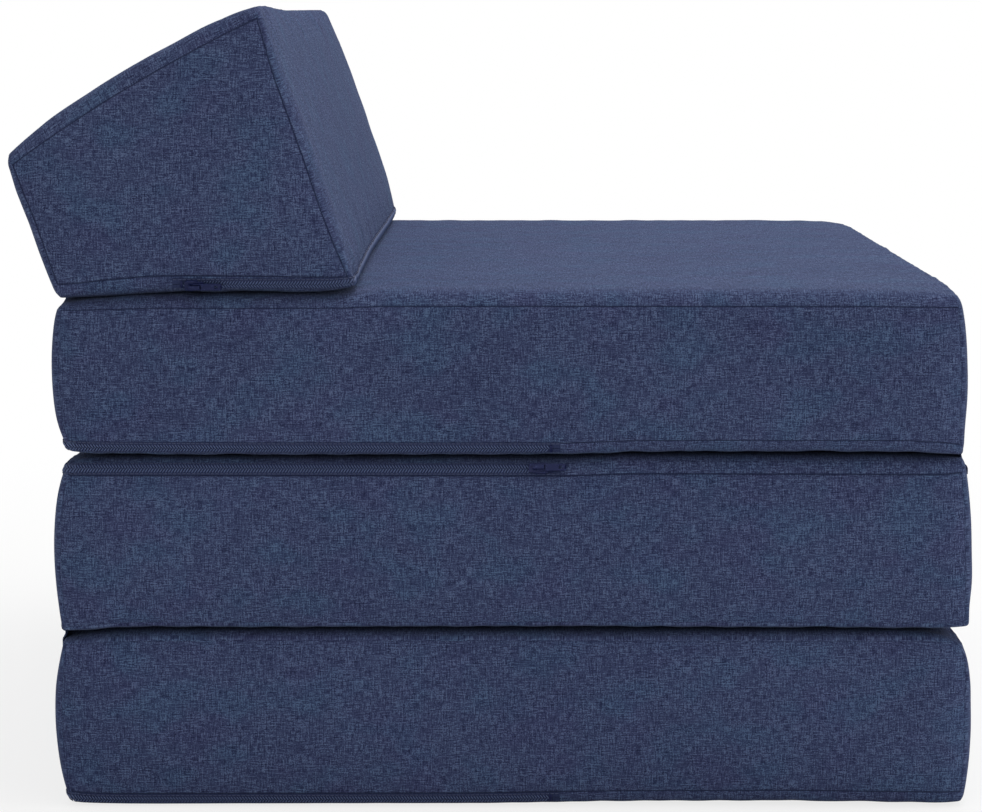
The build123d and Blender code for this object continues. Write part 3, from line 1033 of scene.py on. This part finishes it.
class Nodes:
    """The nodes of a material or of the world, and the ways to add to them."""

    def __init__(self, tree):
        self.tree = tree

    def connect(self, value, socket):
        if isinstance(value, Signal):
            self.tree.links.new(value.socket, socket)
        else:
            socket.default_value = value

    def node(self, kind, settings=None, inputs=None, output=0):
        node = self.tree.nodes.new("ShaderNode" + kind)
        for key, value in (settings or {}).items():
            if key == "stops":
                ramp = node.color_ramp.elements
                while len(ramp) < len(value):
                    ramp.new(1.0)
                for stop_point, (place, shade) in zip(ramp, value):
                    stop_point.position, stop_point.color = place, shade
            else:
                setattr(node, key, value)
        for key, value in (inputs or {}).items():
            self.connect(value, node.inputs[key])
        return Signal(self, node.outputs[output])

    def split(self, vector):
        """The three numbers of a vector."""
        return [self.node("SeparateXYZ", {}, {0: vector}, axis) for axis in range(3)]

    def straight_place(self):
        """Where a part of a zipper lay before it was laid on the cover."""
        return self.split(self.node("Attribute", {"attribute_name": "flat_place"}, {}, 1))

    def own_place(self):
        """Places in the object's own axes."""
        return self.split(self.node("TexCoord", {}, {}, 3))

    def noise(self, x, y, z=0.0, detail=1.0):
        """Noise with features about one unit large."""
        vector = self.node("CombineXYZ", {}, {0: x, 1: y, 2: z})
        inputs = {"Vector": vector, "Scale": 1.0, "Detail": detail, "Roughness": 0.5}
        return self.node("TexNoise", {}, inputs)

    def rise(self, value, low, high):
        """0 below low, 1 above high, and a soft rise between."""
        inputs = {"Value": value, "From Min": low, "From Max": high}
        return self.node("MapRange", {"interpolation_type": "SMOOTHSTEP"}, inputs)

    def mix(self, share, first, second, blend="MIX"):
        """Mixes two colours."""
        settings = {"data_type": "RGBA", "blend_type": blend}
        return self.node("Mix", settings, {0: share, 6: first, 7: second}, 2)


class Finish(Nodes):
    """A material with a Principled shader."""

    def __init__(self, name, **fixed):
        self.material = bpy.data.materials.new(name)
        self.material.use_nodes = True
        super().__init__(self.material.node_tree)
        self.shader = self.tree.nodes["Principled BSDF"]
        self.wire(fixed)

    def wire(self, sockets):
        """Gives sockets of the shader their values."""
        for socket, value in sockets.items():
            self.connect(value, self.shader.inputs[socket.replace("_", " ")])

    def finish(self, height, strength, depth, **sockets):
        """Gives the shader what varies, with a height in units of depth as its bumps."""
        inputs = {"Strength": strength, "Distance": depth, "Height": height}
        self.wire({**sockets, "Normal": self.node("Bump", {}, inputs)})
        return self.material


def shade(red, green, blue):
    """A colour from its values of 0 to 255 on a screen, as light."""
    values = (value / 255 for value in (red, green, blue))
    return (*(v / 12.92 if v < 0.04045 else ((v + 0.055) / 1.055) ** 2.4 for v in values), 1.0)


def dress(piece, material):
    """Gives a piece one material."""
    piece.data.materials.clear()
    piece.data.materials.append(material)


# %% [markdown]
# ### Heathered cloth
# The cloth is a plain weave of yarns that are each spun from light and dark fibres. Close to,
# short light and dark dashes run up and across, and further off they gather in faint teal
# and violet patches. A picture of cloth would tile, so it is made from stretched noises: one
# stretched up, one across, a fine one for flecks, and slow ones for the patches.

# %% Make the cloth
def heathered_cloth(name, place, seam=True):
    """Navy heathered cloth. place moves its pattern, so that no two covers look the same."""
    cloth = Finish(
        name, Roughness=0.95, Specular_IOR_Level=0.08,
        Sheen_Weight=0.06, Sheen_Roughness=0.5, Sheen_Tint=(0.55, 0.68, 1.0, 1.0),
    )
    u, v, _ = cloth.split(cloth.node("UVMap", {"uv_map": "cloth"}))
    on_band = 1 - cloth.rise(u, 1.9, 2.1)
    u, v = u + place, v + place * 0.7
    upright = cloth.noise(u / 0.0010, v / 0.008, 1.0)
    level = cloth.noise(u / 0.007, v / 0.0010, 2.0)
    slub = cloth.noise(u / 0.0014, v / 0.016, 8.0) + cloth.noise(u / 0.016, v / 0.0014, 9.0)
    fleck = cloth.noise(u / 0.0010, v / 0.0010, 3.0, 2.0)
    patch = cloth.noise(u / 0.045, v / 0.032, 4.0, 2.0)
    slow = cloth.noise(u / 0.16, v / 0.12, 5.0)
    clump = cloth.noise(u / 0.013, v / 0.010, 10.0)
    yarns = (upright - 0.5) * 0.9 + (level - 0.5) * 0.95 + (fleck - 0.5) * 1.45
    yarns = yarns * (0.35 + clump * 1.2) + (clump - 0.5) * 0.12
    inland = 0.0
    if seam:
        distance = cloth.node("Attribute", {"attribute_name": "seam_distance"}, {}, 2)
        inland = cloth.rise(distance, 0.006, 0.03)
    slubs = (slub - 1.0) * (0.1 + on_band * inland * 0.55)
    tone = yarns + slubs + (patch - 0.5) * 0.22 + (slow - 0.5) * 0.12 + 0.5
    dark, middle, light = shade(44, 50, 80), shade(60, 69, 100), shade(87, 101, 133)
    stops = [(0.0, shade(29, 34, 60)), (0.28, dark), (0.52, middle), (0.82, light)]
    colour = cloth.node("ValToRGB", {"stops": stops}, {0: tone})
    teal = cloth.rise(patch, 0.46, 0.66) * 0.5
    violet = cloth.rise(cloth.noise(u / 0.05, v / 0.04, 6.0, 2.0), 0.48, 0.68) * 0.4
    colour = cloth.mix(teal, colour, cloth.mix(1.0, colour, shade(222, 252, 250), "MULTIPLY"))
    colour = cloth.mix(violet, colour, cloth.mix(1.0, colour, shade(252, 234, 246), "MULTIPLY"))
    height = yarns * 0.7
    if seam:
        # A dark line is painted along each seam: this is painted shade in the seam's groove.
        line = 1 - cloth.rise(distance, 0.0002, 0.0009)
        colour = cloth.mix(line * 0.75, colour, shade(22, 27, 52))
        gathers = cloth.noise(u / 0.007, v / 0.007, 7.0) * (1 - cloth.rise(distance, 0.0, 0.014))
        height = height + gathers * 1.2 - line
    return cloth.finish(height, 0.55, 0.0004, Base_Color=colour)


cloths = {}
for number, name in enumerate(CUSHIONS):
    cloths[name] = heathered_cloth(f"heathered_navy_cloth_{name}", number * 3.7)
    dress(covers[name], cloths[name])
hinge_cloth = heathered_cloth("hinge_cloth", 17.3, seam=False)
for strip in hinges.values():
    dress(strip, hinge_cloth)
print("cloth:", len(cloths) + 1, "materials")


# %% [markdown]
# ### Tape, thread, nylon, painted metal and foam
# These are small, but a close look should tell them apart. The tape has fine ribs across it, the
# thread a twist, the nylon a dull gloss. The sliders are painted dark and rubbed lighter in small
# patches, and the foam has pores. Flat colours would hide all this.

# %% Make the smaller finishes
def ribbed_tape():
    tape = Finish("zipper_tape", Roughness=0.95, Specular_IOR_Level=0.06)
    along, beside, _ = tape.straight_place()
    ribs = tape.node("Math", {"operation": "SINE"}, {0: along * (2 * math.pi / 0.0011)})
    fibres = tape.noise(along / 0.0008, beside / 0.0004, 1.0, 2.0)
    colour = tape.mix(fibres * 0.6 + ribs * 0.12 + 0.2, shade(34, 40, 70), shade(58, 67, 98))
    return tape.finish(ribs * 0.5 + fibres * 0.5, 0.5, 0.0002, Base_Color=colour)


def sewing_thread():
    thread = Finish("sewing_thread", Roughness=0.7, Sheen_Weight=0.1)
    along, beside, _ = thread.straight_place()
    turned = (along + beside) * (2 * math.pi / 0.0007)
    twist = thread.node("Math", {"operation": "SINE"}, {0: turned})
    colour = thread.mix(twist * 0.3 + 0.5, shade(38, 45, 76), shade(66, 77, 110))
    return thread.finish(twist, 0.4, 0.0001, Base_Color=colour)


def nylon():
    teeth = Finish("zipper_nylon", Specular_IOR_Level=0.3)
    along, beside, up = teeth.straight_place()
    fade = teeth.noise(along / 0.03, beside / 0.003, 1.0)
    # Each tooth is painted light towards its top and dark lower down: a painted highlight on the
    # raised tops and painted shade at their feet, mixed with a slow random fade.
    lit_top = teeth.rise(up, 0.0007, 0.0014)
    colour = teeth.mix(lit_top * 0.75 + fade * 0.25, shade(22, 27, 52), shade(80, 94, 132))
    return teeth.finish(fade, 0.2, 0.0001, Base_Color=colour, Roughness=0.42 + fade * 0.2)


def painted_metal():
    metal = Finish("painted_zinc", Metallic=0.1, Specular_IOR_Level=0.25)
    x, y, z = metal.own_place()
    wear = metal.noise(x / 0.0016, y / 0.0016, z / 0.0016, 3.0)
    grain = metal.noise(x / 0.0003, y / 0.0003, z / 0.0003)
    rubbed = metal.rise(wear, 0.58, 0.72)
    colour = metal.mix(rubbed * 0.35, shade(16, 25, 66), shade(66, 82, 130))
    return metal.finish(grain, 0.15, 0.0001, Base_Color=colour, Roughness=0.5 - rubbed * 0.12)


def open_foam():
    foam = Finish("polyurethane_foam", Roughness=1.0, Specular_IOR_Level=0.2)
    x, y, z = foam.own_place()
    pores = foam.noise(x / 0.0012, y / 0.0012, z / 0.0012, 2.0)
    age = foam.noise(x / 0.1, y / 0.1, z / 0.1, 2.0)
    colour = foam.mix(foam.rise(pores, 0.35, 0.6), shade(196, 184, 150), shade(236, 228, 202))
    colour = foam.mix(age * 0.3, colour, shade(222, 202, 158))
    return foam.finish(pores, 0.8, 0.0008, Base_Color=colour)


finishes = {
    "tape": ribbed_tape(), "stitches": sewing_thread(), "teeth": nylon(),
    "stops": painted_metal(), "foam": open_foam(),
}
finishes["slider"] = finishes["pull"] = finishes["stops"]
for (name, part), piece in zips.items():
    dress(piece, finishes[part])
for foam in foams.values():
    dress(foam, finishes["foam"])
print("finishes:", ", ".join(sorted(finishes)))

# %% [markdown]
# ## Floor and light
# The sofa stands on a pale floor in a bright studio. Its top and the slope of the backrest are
# lighter than its sides, so the main light is a large soft one above and in front. Strong
# lamps would make the backdrop white, but they would bleach the cloth too. So the world and
# the floor are white only to the camera, and they light the sofa gently.

# %% Set up floor, lamps and world
floor = add(bpy.ops.mesh.primitive_plane_add, "floor", size=40, location=(0, 0, 0))
pale = Finish("pale_floor", Roughness=0.9, Specular_IOR_Level=0.2, Base_Color=shade(244, 244, 243))
seen = pale.node("LightPath", {}, {}, 0)
away = pale.node("VectorMath", {"operation": "LENGTH"}, {0: pale.node("TexCoord", {}, {}, 3)}, 1)
white = 0.78 + pale.rise(away, 0.45, 1.6) * 0.22
glow = pale.node("Emission", {}, {"Color": (1, 1, 1, 1), "Strength": 1.0})
plain = Signal(pale, pale.shader.outputs[0])
surface = pale.node("MixShader", {}, {0: seen * white, 1: plain, 2: glow})
pale.connect(surface, pale.tree.nodes["Material Output"].inputs["Surface"])
floor.data.materials.append(pale.material)


def lamp(name, place, aim, size, watts):
    """A soft square lamp that points at a place."""
    bpy.ops.object.light_add(type="AREA", location=place)
    light = bpy.context.object
    light.name = name
    light.data.size, light.data.energy = size, watts
    light.rotation_mode = "QUATERNION"
    light.rotation_quaternion = (Vector(aim) - Vector(place)).to_track_quat("-Z", "Y")
    return light


CENTRE = (0, 0, 0.3)
lamp("overhead", (0.3, -0.4, 3.2), CENTRE, 2.6, 62)
lamp("front", (-0.6, -3.2, 1.7), CENTRE, 2.0, 34)
lamp("side", (-3.6, 0.9, 1.5), CENTRE, 2.4, 20)

world = bpy.data.worlds.new("studio")
bpy.context.scene.world = world
world.use_nodes = True
sky = Nodes(world.node_tree)
camera_rays, glossy_rays = (
    sky.node("LightPath", {}, {}, rays) for rays in ("Is Camera Ray", "Is Glossy Ray")
)
seen_by = sky.node("Math", {"operation": "MAXIMUM"}, {0: camera_rays, 1: glossy_rays})
strength = sky.node("MapRange", {}, {"Value": seen_by, "To Min": 0.42, "To Max": 1.0})
background = sky.tree.nodes["Background"]
sky.connect(strength, background.inputs["Strength"])
background.inputs["Color"].default_value = (1, 1, 1, 1)
bpy.context.scene.view_settings.view_transform = "Standard"
